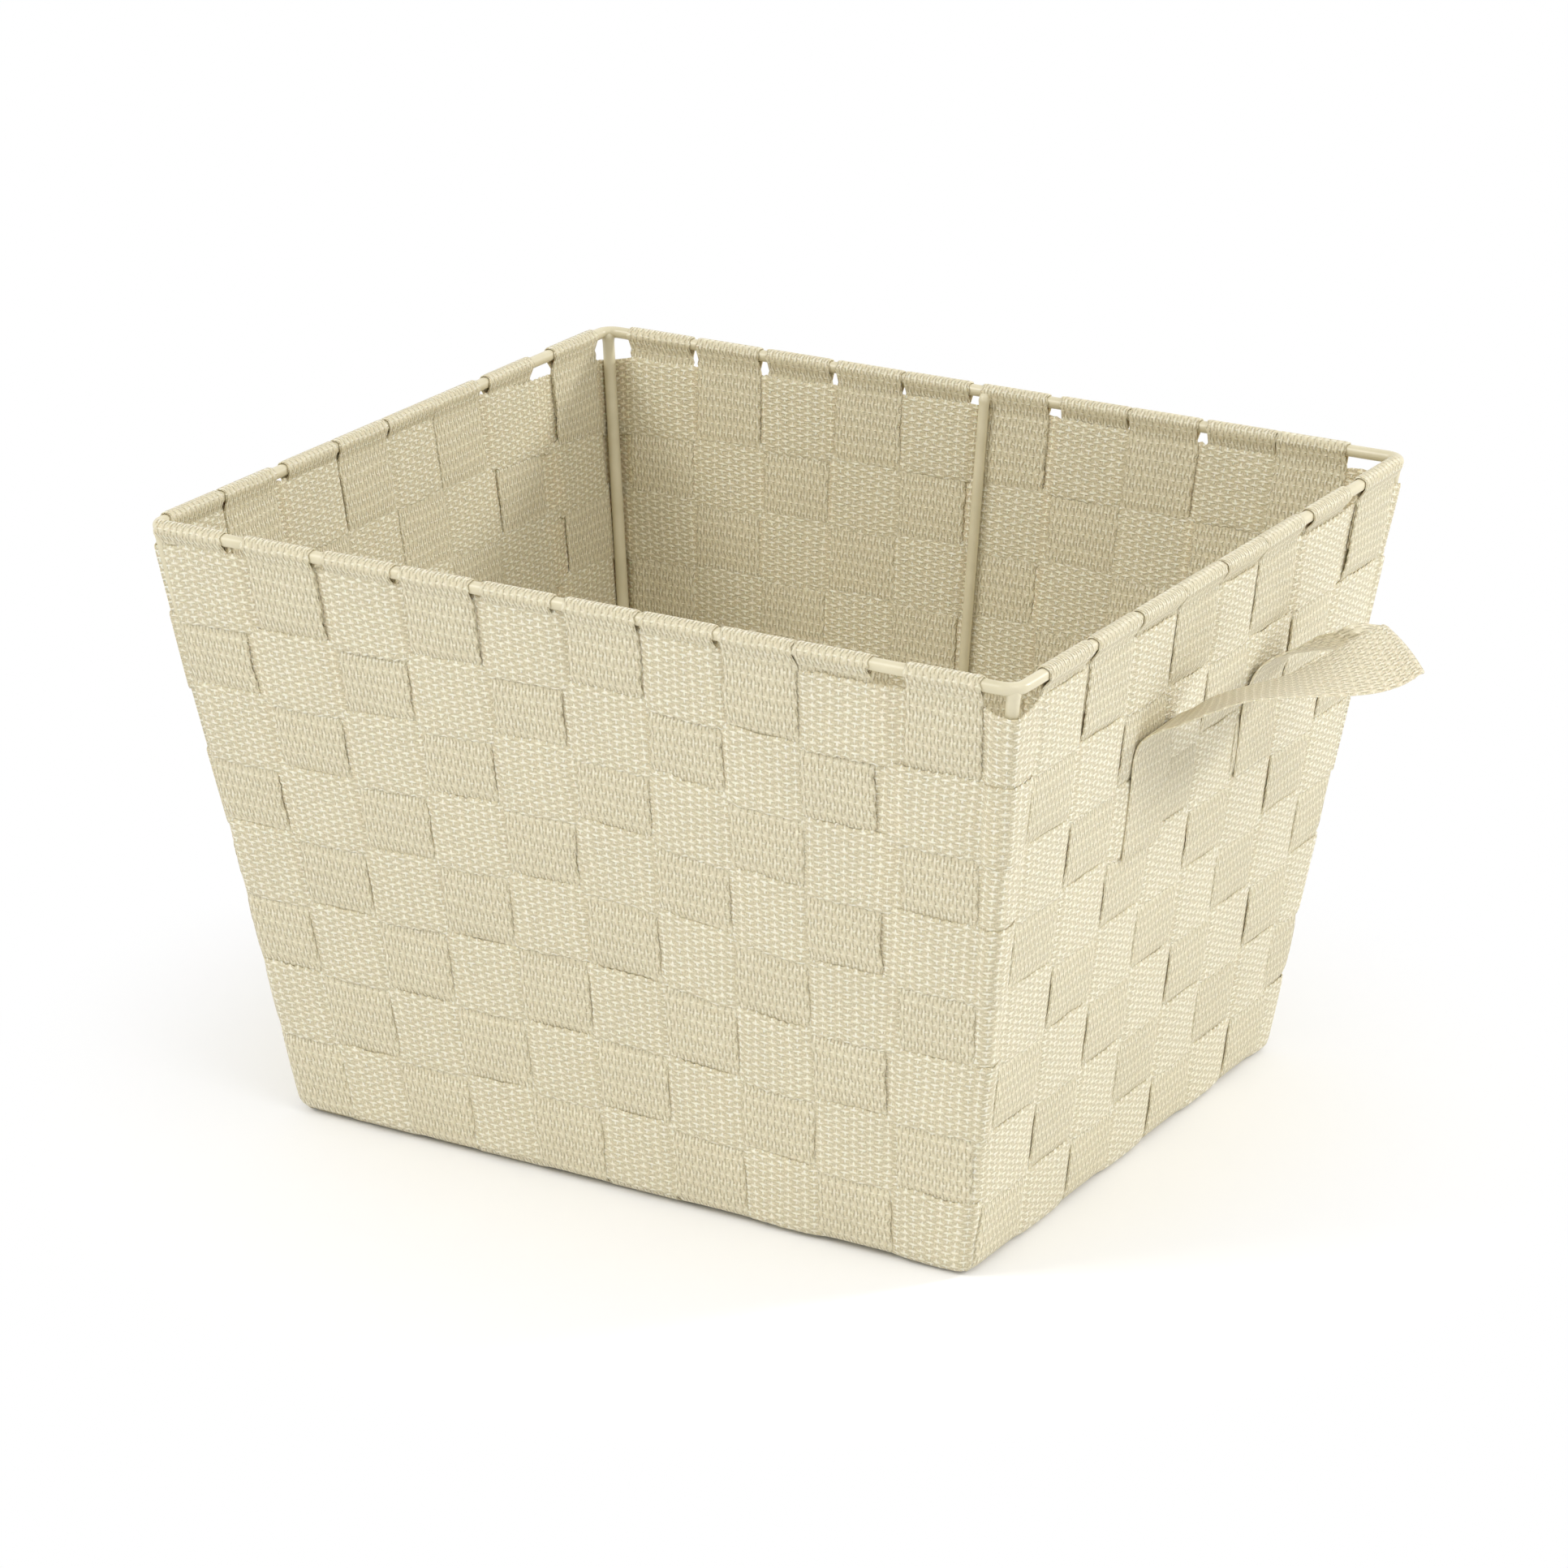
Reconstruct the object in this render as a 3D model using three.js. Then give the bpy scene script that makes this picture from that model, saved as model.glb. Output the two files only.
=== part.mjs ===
// A woven storage bin: webbing straps interlaced round a welded wire frame, with a webbing handle on each end.
// Millimetres, +Z up, origin at the middle of the base, on the surface that the bin stands on.
// +X runs along the long front wall, and +Y runs from the front wall to the back wall.
import * as THREE from "three";

// Webbing
const strapWidth = 29.2;
const strapThickness = 1.0;
const layerGap = 0.3; // between one woven layer and the next, and round every wire
const lengthwiseGap = 0.9; // between neighbouring front-to-back straps in the base
const crosswiseGap = 2.2; // between neighbouring side-to-side straps in the base
const rowGap = 1.4; // between neighbouring rows up the wall

// How many straps run each way
const lengthwiseCount = 10; // front-to-back straps, spread along the long walls
const crosswiseCount = 8; // side-to-side straps, spread along the short walls
const rowCount = 8; // closed loops round the walls, counted down from the rim

// Wire frame
const rimWireRadius = 2.2;
const baseWireRadius = 2.2;
const cornerPostRadius = 2.5;
const middlePostRadius = 2.2;
const rimCornerRadius = 12;
const baseCornerRadius = 3.5;
const wallTilt = THREE.MathUtils.degToRad(7.8); // every wall leans out from the vertical

// Rim and fold
const rimBand = 6.5; // from the rim wire's middle to the first row
const foldBand = 0.8; // from the lowest row to the start of the fold under the base
const tailInset = 5; // a tucked strap end stops this far above the first row's lower edge
const rimClearance = 1; // between the rim's corner bend and the outermost strap
const postClearance = 0.2; // beside a post, beyond the layer gap

// Handles
const handleSpacing = 97; // between the middles of a handle's two roots
const handleShift = 14.5; // a handle's middle lies this far behind the middle of its wall
const handleRow = 3; // the roots lie over this row
const hingeRise = 5.7; // the hinge line lies this far above that row's upper edge
const rootOverrun = 1.1; // a root ends this far below that row's lower edge
const rootBend = 4.5; // radius of the bend that turns a root out from the wall
const hingeGap = 0.45; // from the hinge line to each of the two strap ends that meet there

// Facets
const wireSides = 8;
const cornerSteps = 3;
const postBendSteps = 2;
const wrapSteps = 5;
const foldSteps = 2;
const rootSteps = 3;
const handleSteps = 24;

const weaveOffset = (strapThickness + layerGap) / 2; // from a wall's middle surface to a strap's
const firstRowOffset = strapThickness + layerGap; // the same at the first row, which holds the tails too
const sinTilt = Math.sin(wallTilt);
const cosTilt = Math.cos(wallTilt);
const up = new THREE.Vector3(0, 0, 1);

// The woven base is flat. Its wire frame lies in the fold between the base and the walls.
const baseLevel = weaveOffset + strapThickness / 2;
const foldRadius = weaveOffset + strapThickness / 2 + layerGap + baseWireRadius;
const foldHeight = baseLevel + foldRadius;
const foldStart = rowTop(rowCount) + strapWidth + foldBand;
const rimHeight = foldHeight - foldRadius * sinTilt + foldStart * cosTilt;

// A row bends round the corner posts, so the outermost straps stop short of them.
const postBendRadius = cornerPostRadius + layerGap + strapThickness / 2;
const cornerMargin = postBendRadius + cornerPostRadius + layerGap + postClearance;
const postInset = postBendRadius / cosTilt;

// The straps that run one way: their spread in the base and at the rim, and half the span of the walls
// that they stand beside.
function strapSet(count, gap) {
  const basePitch = strapWidth + gap;
  const baseHalf = (basePitch * count - gap) / 2 + cornerMargin;
  const rimHalf = baseHalf + foldStart * sinTilt;
  const outermostEdge = rimHalf - rimCornerRadius - rimClearance;
  const rimPitch = (2 * outermostEdge - strapWidth) / (count - 1);
  return { count, basePitch, rimPitch, baseHalf, rimHalf };
}
const lengthwise = strapSet(lengthwiseCount, lengthwiseGap);
const crosswise = strapSet(crosswiseCount, crosswiseGap);

// The four walls in ring order. Each holds the upright straps of one set, and the other set gives its place.
const walls = [
  { along: [1, 0], out: [0, -1], straps: lengthwise, place: crosswise },
  { along: [0, 1], out: [1, 0], straps: crosswise, place: lengthwise },
  { along: [-1, 0], out: [0, 1], straps: lengthwise, place: crosswise },
  { along: [0, -1], out: [-1, 0], straps: crosswise, place: lengthwise },
];

// ---- Where things lie

function rowTop(row) {
  return rimBand + (row - 1) * (strapWidth + rowGap);
}

// The upright straps fan out from the base to the rim.
function strapMiddle(set, index, down) {
  const rise = 1 - THREE.MathUtils.clamp(down / foldStart, 0, 1);
  const pitch = THREE.MathUtils.lerp(set.basePitch, set.rimPitch, rise);
  return pitch * (index - (set.count + 1) / 2);
}

// Counted as one ring round the bin, every other upright strap passes outside a row, and the next row swaps.
function passesOutside(ringIndex, row) {
  return (ringIndex + row) % 2 === 1;
}

function uprightOffset(ringIndex, row) {
  const reach = row === 1 ? firstRowOffset : weaveOffset;
  return passesOutside(ringIndex, row) ? reach : -reach;
}

// A wall's own coordinates, down from the rim wire and out from its middle surface, in the upright plane.
function wallVector(down, offset) {
  return [offset * cosTilt - down * sinTilt, -offset * sinTilt - down * cosTilt];
}

function wallPoint(place, down, offset) {
  const [out, rise] = wallVector(down, offset);
  return [place.rimHalf + out, rimHeight + rise];
}

// ---- Solids from sections

// Joins rings of points, each with as many points, into one closed body.
function loft(rings, endless) {
  const sides = rings[0].length;
  const positions = rings.flat().flatMap((point) => point.toArray());
  const index = [];
  const spans = endless ? rings.length : rings.length - 1;
  for (let i = 0; i < spans; i++) {
    const here = i * sides;
    const next = ((i + 1) % rings.length) * sides;
    for (let k = 0; k < sides; k++) {
      const side = (k + 1) % sides;
      index.push(here + k, next + k, next + side, here + k, next + side, here + side);
    }
  }
  if (!endless) {
    const last = (rings.length - 1) * sides;
    for (let k = 1; k < sides - 1; k++) {
      index.push(0, k, k + 1, last, last + k + 1, last + k);
    }
  }
  if (enclosedVolume(positions, index) < 0) {
    index.reverse();
  }
  const geometry = new THREE.BufferGeometry();
  geometry.setAttribute("position", new THREE.Float32BufferAttribute(positions, 3));
  geometry.setIndex(index);
  geometry.computeVertexNormals();
  return geometry;
}

function enclosedVolume(positions, index) {
  const corner = (i) => new THREE.Vector3().fromArray(positions, index[i] * 3);
  let sixfold = 0;
  for (let i = 0; i < index.length; i += 3) {
    sixfold += corner(i).dot(corner(i + 1).cross(corner(i + 2)));
  }
  return sixfold / 6;
}

// A strap's section, from its two edges, with half the thickness to each side along the normal.
function strapSection(edgeA, edgeB, normal) {
  const half = normal.clone().multiplyScalar(strapThickness / 2);
  return [
    edgeA.clone().add(half),
    edgeB.clone().add(half),
    edgeB.clone().sub(half),
    edgeA.clone().sub(half),
  ];
}

// A round wire's section, square to its direction.
function wireSection(middle, direction, radius) {
  const helper = Math.abs(direction.z) > 0.7 ? new THREE.Vector3(1, 0, 0) : up;
  const across = helper.clone().cross(direction).normalize();
  const other = direction.clone().cross(across);
  return Array.from({ length: wireSides }, (_, k) => {
    const angle = (2 * Math.PI * (k + 0.5)) / wireSides;
    const point = middle.clone().addScaledVector(across, radius * Math.cos(angle));
    return point.addScaledVector(other, radius * Math.sin(angle));
  });
}

// ---- Wire frame

// A closed level wire: a rectangle with rounded corners.
function wireRing(halfX, halfY, cornerRadius, height, radius) {
  const quadrants = [
    [1, 1],
    [-1, 1],
    [-1, -1],
    [1, -1],
  ];
  const rings = quadrants.flatMap(([signX, signY], quadrant) =>
    Array.from({ length: cornerSteps + 1 }, (_, step) => {
      const angle = (Math.PI / 2) * (quadrant + step / cornerSteps);
      const x = signX * (halfX - cornerRadius) + cornerRadius * Math.cos(angle);
      const y = signY * (halfY - cornerRadius) + cornerRadius * Math.sin(angle);
      const direction = new THREE.Vector3(-Math.sin(angle), Math.cos(angle), 0);
      return wireSection(new THREE.Vector3(x, y, height), direction, radius);
    }),
  );
  return loft(rings, true);
}

function straightWire(from, to, radius) {
  const direction = to.clone().sub(from).normalize();
  return loft([wireSection(from, direction, radius), wireSection(to, direction, radius)], false);
}

// A post stands between the two wires, a layer gap short of each.
const postHead = rimWireRadius + layerGap;
const postFoot = (rimHeight - foldHeight - baseWireRadius - layerGap) / cosTilt;

function cornerPost(signX, signY) {
  const end = (down) => {
    const x = lengthwise.rimHalf - down * sinTilt - postInset;
    const y = crosswise.rimHalf - down * sinTilt - postInset;
    return new THREE.Vector3(signX * x, signY * y, rimHeight - down * cosTilt);
  };
  return straightWire(end(postHead), end(postFoot), cornerPostRadius);
}

// A post inside the middle of a long wall. It leans out a little, to meet the rim wire.
function middlePost(signY) {
  const end = (down, offset) => {
    const [out, height] = wallPoint(crosswise, down, offset);
    return new THREE.Vector3(0, signY * out, height);
  };
  const headOffset = -(middlePostRadius + layerGap + strapThickness / 2 + postClearance);
  return straightWire(end(postHead, headOffset), end(postFoot, -foldRadius), middlePostRadius);
}

// ---- Straps that climb one wall, cross the base and climb the opposite wall

// A station holds a strap's place down the wall, its point (out, height) and its normal there.
function wallStation(place, down, offset, normal) {
  return { down, point: wallPoint(place, down, offset), normal: wallVector(...normal) };
}

// The tail lies between the first row and its own strap, which comes back over the rim wire.
function rimWrap(place, ringIndex) {
  const side = passesOutside(ringIndex, 1) ? 1 : -1;
  const tailEnd = rowTop(1) + strapWidth - tailInset;
  const tail = [tailEnd, rowTop(1)].map((down) => wallStation(place, down, 0, [0, -1]));
  const radius = rimWireRadius + layerGap + strapThickness / 2;
  const tailAngle = 2 * Math.PI - Math.acos(radius / rimBand);
  const strapAngle =
    Math.atan2(firstRowOffset, rimBand) + Math.acos(radius / Math.hypot(rimBand, firstRowOffset));
  const bend = Array.from({ length: wrapSteps + 1 }, (_, step) => {
    const angle = THREE.MathUtils.lerp(tailAngle, strapAngle, step / wrapSteps);
    const down = Math.cos(angle);
    const offset = side * Math.sin(angle);
    return wallStation(place, radius * down, radius * offset, [side * down, side * offset]);
  });
  return [...tail, ...bend];
}

// Down the wall, a strap changes sides between one row and the next.
function wallWeave(place, ringIndex) {
  const stations = [];
  for (let row = 1; row <= rowCount; row++) {
    const offset = uprightOffset(ringIndex, row);
    stations.push(wallStation(place, rowTop(row), offset, [0, 1]));
    stations.push(wallStation(place, rowTop(row) + strapWidth, offset, [0, 1]));
  }
  return stations;
}

// The fold turns the strap round the base wire and under the bin.
function fold(place) {
  const middle = place.baseHalf - foldRadius * cosTilt;
  return Array.from({ length: foldSteps + 1 }, (_, step) => {
    const angle = THREE.MathUtils.lerp(wallTilt, Math.PI / 2, step / foldSteps);
    const normal = [Math.cos(angle), -Math.sin(angle)];
    const point = [middle + foldRadius * normal[0], foldHeight + foldRadius * normal[1]];
    return { down: foldStart, point, normal };
  });
}

// Across the base, a strap passes under every other strap of the other set.
function baseWeave(otherSet, isUnder) {
  const stations = [];
  for (let index = 1; index <= otherSet.count; index++) {
    const height = baseLevel + (isUnder(index) ? -weaveOffset : weaveOffset);
    const middle = strapMiddle(otherSet, index, foldStart);
    for (const side of [-1, 1]) {
      const point = [middle + (side * strapWidth) / 2, height];
      stations.push({ down: foldStart, point, normal: [0, -1] });
    }
  }
  return stations;
}

// The walls at the strap's two ends are the near one, with the smaller coordinate, and the far one.
function wovenStrap(set, otherSet, index, nearRing, farRing, isUnder, toWorld) {
  const climb = (ringIndex) => [
    ...rimWrap(otherSet, ringIndex),
    ...wallWeave(otherSet, ringIndex),
    ...fold(otherSet),
  ];
  const mirrored = ({ down, point, normal }) => ({
    down,
    point: [-point[0], point[1]],
    normal: [-normal[0], normal[1]],
  });
  const stations = [
    ...climb(nearRing).map(mirrored),
    ...baseWeave(otherSet, isUnder),
    ...climb(farRing).reverse(),
  ];
  const rings = stations.map(({ down, point, normal }) => {
    const middle = strapMiddle(set, index, down);
    const edge = (side) => toWorld(middle + (side * strapWidth) / 2, ...point);
    return strapSection(edge(-1), edge(1), toWorld(0, ...normal));
  });
  return loft(rings, false);
}

function lengthwiseStrap(index) {
  const nearRing = index;
  const farRing = 2 * lengthwiseCount + crosswiseCount + 1 - index;
  const isUnder = (other) => (index + other) % 2 === 1;
  const toWorld = (across, out, height) => new THREE.Vector3(across, out, height);
  return wovenStrap(lengthwise, crosswise, index, nearRing, farRing, isUnder, toWorld);
}

function crosswiseStrap(index) {
  const nearRing = 2 * (lengthwiseCount + crosswiseCount) + 1 - index;
  const farRing = lengthwiseCount + index;
  const isUnder = (other) => (index + other) % 2 === 0;
  const toWorld = (across, out, height) => new THREE.Vector3(out, across, height);
  return wovenStrap(crosswise, lengthwise, index, nearRing, farRing, isUnder, toWorld);
}

// ---- Rows: closed straps round all four walls

function rowStrap(row) {
  const edges = [rowTop(row), rowTop(row) + strapWidth];
  const rings = [];
  let ringIndex = 0;
  walls.forEach(({ along, out, straps, place }) => {
    for (let index = 1; index <= straps.count; index++) {
      ringIndex += 1;
      const offset = -uprightOffset(ringIndex, row);
      for (const side of [-1, 1]) {
        const [upper, lower] = edges.map((down) => {
          const middle = strapMiddle(straps, index, down) + (side * strapWidth) / 2;
          const [reach, height] = wallPoint(place, down, offset);
          return worldPoint(along, out, middle, reach, height);
        });
        rings.push(strapSection(upper, lower, worldPoint(along, out, 0, cosTilt, -sinTilt)));
      }
    }
    rings.push(...postBend(along, out, straps, place, edges));
  });
  return loft(rings, true);
}

function worldPoint(along, out, distance, reach, height) {
  const x = along[0] * distance + out[0] * reach;
  const y = along[1] * distance + out[1] * reach;
  return new THREE.Vector3(x, y, height);
}

// The quarter bend round a corner post, from the end of one wall to the start of the next.
function postBend(along, out, straps, place, edges) {
  return Array.from({ length: postBendSteps + 1 }, (_, step) => {
    const angle = (Math.PI / 2) * (step / postBendSteps);
    const [ahead, aside] = [Math.sin(angle), Math.cos(angle)];
    const [upper, lower] = edges.map((down) => {
      const narrowing = down * sinTilt + postInset;
      const distance = straps.rimHalf - narrowing + postInset * ahead;
      const reach = place.rimHalf - narrowing + postInset * aside;
      return worldPoint(along, out, distance, reach, rimHeight - down * cosTilt);
    });
    const normal = worldPoint(along, out, ahead * cosTilt, aside * cosTilt, -sinTilt);
    return strapSection(upper, lower, normal);
  });
}

// ---- Handles on the two short walls

const rootTop = rowTop(handleRow) - hingeRise;
const rootBottom = rowTop(handleRow) + strapWidth + rootOverrun;
const rootOffset = weaveOffset + strapThickness + layerGap; // a root lies on the outside of the weave
const hingeOffset = rootOffset + rootBend + hingeGap;
const [hingeOut, hingeHeight] = wallPoint(lengthwise, rootTop, hingeOffset);

// A root lies flat on the wall and turns out from it at the top.
function handleRoot(signX, end) {
  const middle = handleShift + (end * handleSpacing) / 2;
  const bend = Array.from({ length: rootSteps + 1 }, (_, step) => {
    const angle = (Math.PI / 2) * (step / rootSteps);
    const down = rootTop + rootBend * (1 - Math.sin(angle));
    const offset = rootOffset + rootBend * (1 - Math.cos(angle));
    return wallStation(lengthwise, down, offset, [Math.sin(angle), Math.cos(angle)]);
  });
  const foot = wallStation(lengthwise, rootBottom, rootOffset, [0, 1]);
  const rings = [foot, ...bend].map(({ point, normal }) => {
    const edge = (side) => new THREE.Vector3(signX * point[0], middle + (side * strapWidth) / 2, point[1]);
    return strapSection(edge(-1), edge(1), new THREE.Vector3(signX * normal[0], 0, normal[1]));
  });
  return loft(rings, false);
}

// The carrying loop, from one root to the other, measured from the middle of the hinge line: out from the
// wall, along it and up. The strap leaves its front root sideways, turns on edge towards the tip and lies
// flat again at its rear root.
const half = handleSpacing / 2;
const loopMiddle = [
  [hingeGap, -half, 0.15],
  [3.5, -half, 1.2],
  [9, -half + 1, 2.9],
  [16, -half + 4, 5],
  [24, -half + 10, 7.5],
  [32, -half + 20, 9.5],
  [39, -half + 33, 11.5],
  [46, half - 49, 13],
  [52, half - 32, 15],
  [55, half - 15, 15],
  [50, half - 3, 14],
  [37, half, 10],
  [22, half, 6.5],
  [10, half, 3.2],
  [hingeGap, half, 0.15],
];
const loopAcross = [
  [0, 1, 0],
  [0, 1, 0],
  [-0.15, 0.98, 0],
  [-0.4, 0.9, 0],
  [-0.65, 0.75, 0],
  [-0.8, 0.6, 0.1],
  [-0.8, 0.5, 0.25],
  [-0.7, 0.4, 0.5],
  [-0.5, 0.2, 0.8],
  [-0.3, 0, 0.95],
  [-0.25, -0.35, 0.9],
  [-0.2, -0.75, 0.6],
  [-0.1, -0.95, 0.2],
  [0, -1, 0.05],
  [0, -1, 0],
];

function handleLoop(signX) {
  const curve = (points) => new THREE.CatmullRomCurve3(points.map((p) => new THREE.Vector3(...p)));
  const middles = curve(loopMiddle);
  const acrosses = curve(loopAcross);
  const rings = Array.from({ length: handleSteps + 1 }, (_, step) => {
    const share = step / handleSteps;
    const middle = middles.getPoint(share);
    const tangent = middles.getTangent(share);
    const across = acrosses.getPoint(share);
    across.addScaledVector(tangent, -across.dot(tangent)).setLength(strapWidth / 2);
    const normal = across.clone().cross(tangent).normalize();
    return strapSection(middle.clone().sub(across), middle.clone().add(across), normal);
  });
  for (const point of rings.flat()) {
    point.set(signX * (hingeOut + point.x), handleShift + point.y, hingeHeight + point.z);
  }
  return loft(rings, false);
}

// ---- The bin

const webbing = { color: 0xdccfae, roughness: 0.85, metalness: 0 };
const paintedWire = { color: 0xddd3b6, roughness: 0.5, metalness: 0 };
const bin = new THREE.Group();

function addPiece(name, geometry, finish) {
  const piece = new THREE.Mesh(geometry, new THREE.MeshStandardMaterial(finish));
  piece.name = name;
  bin.add(piece);
}

function addNumbered(name, count, make) {
  for (let index = 1; index <= count; index++) {
    addPiece(`${name}_${index}`, make(index), webbing);
  }
}

const baseWireInset = foldRadius * cosTilt;
const rimWire = wireRing(lengthwise.rimHalf, crosswise.rimHalf, rimCornerRadius, rimHeight, rimWireRadius);
const baseWire = wireRing(
  lengthwise.baseHalf - baseWireInset,
  crosswise.baseHalf - baseWireInset,
  baseCornerRadius,
  foldHeight,
  baseWireRadius,
);
addPiece("rim_wire", rimWire, paintedWire);
addPiece("base_wire", baseWire, paintedWire);
for (const [end, signY] of Object.entries({ front: -1, back: 1 })) {
  addPiece(`middle_post_${end}`, middlePost(signY), paintedWire);
  for (const [side, signX] of Object.entries({ left: -1, right: 1 })) {
    addPiece(`corner_post_${end}_${side}`, cornerPost(signX, signY), paintedWire);
    addPiece(`handle_root_${end}_${side}`, handleRoot(signX, signY), webbing);
  }
}
addPiece("handle_loop_left", handleLoop(-1), webbing);
addPiece("handle_loop_right", handleLoop(1), webbing);
addNumbered("lengthwise_strap", lengthwiseCount, lengthwiseStrap);
addNumbered("crosswise_strap", crosswiseCount, crosswiseStrap);
addNumbered("row_strap", rowCount, rowStrap);

export default bin;
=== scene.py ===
# Woven storage bin: webbing straps interlaced round a welded wire frame, with a webbing handle at
# each end. Lengths are worked out in millimetres and scaled to metres as each mesh is made.
import bisect
import math

import bmesh
import bpy
from mathutils import Matrix, Vector, noise


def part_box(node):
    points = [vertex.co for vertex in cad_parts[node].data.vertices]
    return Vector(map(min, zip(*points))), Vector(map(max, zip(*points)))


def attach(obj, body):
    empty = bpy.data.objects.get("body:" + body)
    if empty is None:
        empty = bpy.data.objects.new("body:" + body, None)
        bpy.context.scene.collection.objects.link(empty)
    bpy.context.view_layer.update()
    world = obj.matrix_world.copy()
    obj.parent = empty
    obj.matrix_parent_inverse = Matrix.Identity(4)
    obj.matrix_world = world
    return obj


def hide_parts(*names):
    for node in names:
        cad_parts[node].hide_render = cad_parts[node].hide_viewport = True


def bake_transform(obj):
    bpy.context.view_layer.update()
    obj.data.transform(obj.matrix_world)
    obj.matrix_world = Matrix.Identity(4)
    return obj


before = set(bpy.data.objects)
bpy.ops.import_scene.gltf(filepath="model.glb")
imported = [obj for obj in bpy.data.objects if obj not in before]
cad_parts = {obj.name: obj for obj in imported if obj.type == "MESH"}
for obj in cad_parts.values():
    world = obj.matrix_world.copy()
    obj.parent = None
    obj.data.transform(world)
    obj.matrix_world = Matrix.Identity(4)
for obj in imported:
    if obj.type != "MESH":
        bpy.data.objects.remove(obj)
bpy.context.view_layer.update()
mm = 0.001
print("frame loaded:", len(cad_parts), "parts")

# The camera.

camera = {"lens": 123.9, "place": (1.038, -1.7605, 0.8849), "azimuth": 30.59, "elevation": 20.29}
cameraData = bpy.data.cameras.new("camera")
cameraData.lens = camera["lens"]
cameraObject = bpy.data.objects.new("camera", cameraData)
cameraObject.location = camera["place"]
cameraTurn = (90 - camera["elevation"], 0, camera["azimuth"])
cameraObject.rotation_euler = [math.radians(degrees) for degrees in cameraTurn]
bpy.context.scene.collection.objects.link(cameraObject)
bpy.context.scene.camera = cameraObject
print("camera ready")

# Materials.


def linear(hexColour):
    channels = [int(hexColour[i : i + 2], 16) / 255 for i in (1, 3, 5)]
    return [c / 12.92 if c <= 0.04045 else ((c + 0.055) / 1.055) ** 2.4 for c in channels] + [1]


def newMaterial(name):
    material = bpy.data.materials.new(name)
    material.use_nodes = True
    material.node_tree.nodes.clear()
    return material


def add(tree, kind, inputs=(), stops=(), **settings):
    # One node with its settings, a ramp's stops and its links. A node given as an input stands
    # for its first output.
    node = tree.nodes.new("ShaderNode" + kind)
    for name, value in settings.items():
        setattr(node, name, value)
    for _ in stops[2:]:
        node.color_ramp.elements.new(0.5)
    for i, (position, colour) in enumerate(stops):
        node.color_ramp.elements[i].position = position
        node.color_ramp.elements[i].color = linear(colour)
    for socket, value in inputs.items() if isinstance(inputs, dict) else enumerate(inputs):
        if isinstance(value, bpy.types.Node):
            value = value.outputs[0]
        if isinstance(value, bpy.types.NodeSocket):
            tree.links.new(value, node.inputs[socket])
        else:
            node.inputs[socket].default_value = value
    return node


webbing = {
    "acrossRepeat": 3.05,  # one repeat of the weave across the tape
    "alongRepeat": 7.36,  # and along it
    "shift": 1.0,  # the second row of floats lies this far across from the first
    "float": (0.6, 2.0),  # half the width and half the length of a yarn's float
    "tie": (1.1, 0.5),  # half the length and half the width of the weft tie beside it
    "tieShift": 0.85,  # from the middle of a float to the middle of its tie
    "roundness": 0.7,  # lower gives floats with flatter tops and steeper sides
    "drift": (0.06, (1.3, 2.6, 0)),  # slow wandering of the weave: how often, and how far
    "jitter": (0.5, (0.9, 1.5, 0)),  # and each yarn's own
    "ripple": 0.15,  # how far the furrows between the yarns swing from side to side
    "fibreScale": 1.9,  # the grain of the filaments, per millimetre
    "cloudScale": 0.03,  # slow changes of shade along a strap
    "cloudShade": (0.95, 1.05),
    "relief": 0.45,
    "roughness": 0.55,
    "specular": 0.6,
    "stretch": 0.75,  # the fibres shine across their length
    "translucence": 0.25,
    "glow": (1.4, 1.1, 0.7),  # how far red, green and blue light spreads inside
    "sheen": (0.1, 0.45),  # its strength and its roughness
}
# Lit and shaded copies of one webbing. The rows carry a lighter body and a bright painted
# highlight on their floats and ties; the upright straps and handles carry darker painted shade
# in their crevices and a dimmer highlight, and show their furrows more.
rowLitLook = {
    "ribs": 0.16,
    "floats": 0.88,
    "fibre": 1.1,
    "creviceShade": "#C8BD9B",
    "body": "#EAE0C2",
    "crown": "#FFF9E3",
}
uprightShadedLook = {
    "ribs": 0.46,
    "floats": 0.6,
    "fibre": 0.9,
    "creviceShade": "#ADA17F",
    "body": "#DCD2B3",
    "crown": "#F7EFD6",
}


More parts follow.
